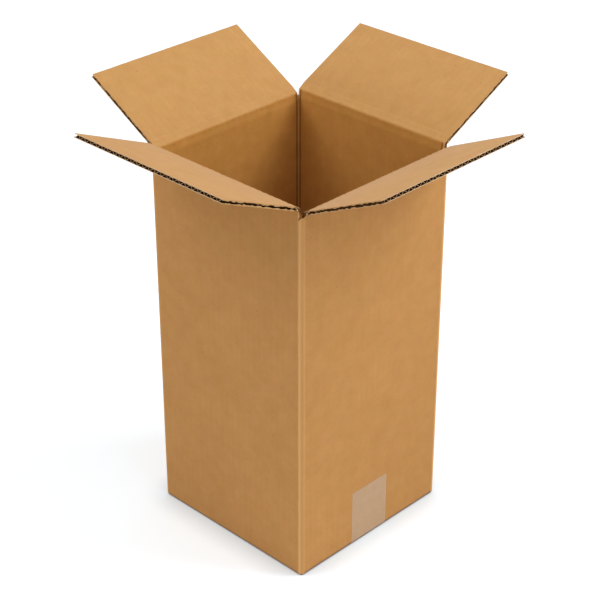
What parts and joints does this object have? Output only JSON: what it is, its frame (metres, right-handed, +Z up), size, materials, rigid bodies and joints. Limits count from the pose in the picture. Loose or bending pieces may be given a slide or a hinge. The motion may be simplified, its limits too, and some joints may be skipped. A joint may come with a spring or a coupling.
{
  "type": "open cardboard box",
  "caption": "Tall square corrugated cardboard shipping box, open at the top with its flaps folded out, bottom folded in and taped shut.",
  "frame": {"origin": "centre of the base, on the floor", "axes": "+Z up through the open top; X runs along the bottom seam and its tape, so the tape climbs the walls at +X and -X; -Y is the front wall, whose top flap is one of the outer pair"},
  "size_m": [0.3829, 0.3865, 0.4551],
  "materials": {
    "kraft_board": "matt brown kraft paper liner with faint fibres",
    "packing_tape": "clear packing tape that looks greyish tan over the board"
  },
  "bodies": {
    "box": {"box_body": "kraft_board", "bottom_tape": "packing_tape"},
    "front_flap": {"flap_front": "kraft_board"},
    "right_flap": {"flap_right": "kraft_board"},
    "back_flap": {"flap_back": "kraft_board"},
    "left_flap": {"flap_left": "kraft_board"}
  },
  "joints": [
    {"name": "front_flap_fold", "type": "hinge", "parent": "box", "child": "front_flap", "pos_m": [0, -0.10165, 0.406], "axis": [1, 0, 0], "range_deg": [-156.5, 111.5]},
    {"name": "right_flap_fold", "type": "hinge", "parent": "box", "child": "right_flap", "pos_m": [0.10165, 0, 0.4015], "axis": [0, 1, 0], "range_deg": [-155, 113]},
    {"name": "back_flap_fold", "type": "hinge", "parent": "box", "child": "back_flap", "pos_m": [0, 0.10165, 0.406], "axis": [-1, 0, 0], "range_deg": [-153.5, 114.5]},
    {"name": "left_flap_fold", "type": "hinge", "parent": "box", "child": "left_flap", "pos_m": [-0.10165, 0, 0.4015], "axis": [0, -1, 0], "range_deg": [-150.5, 117.5]}
  ]
}
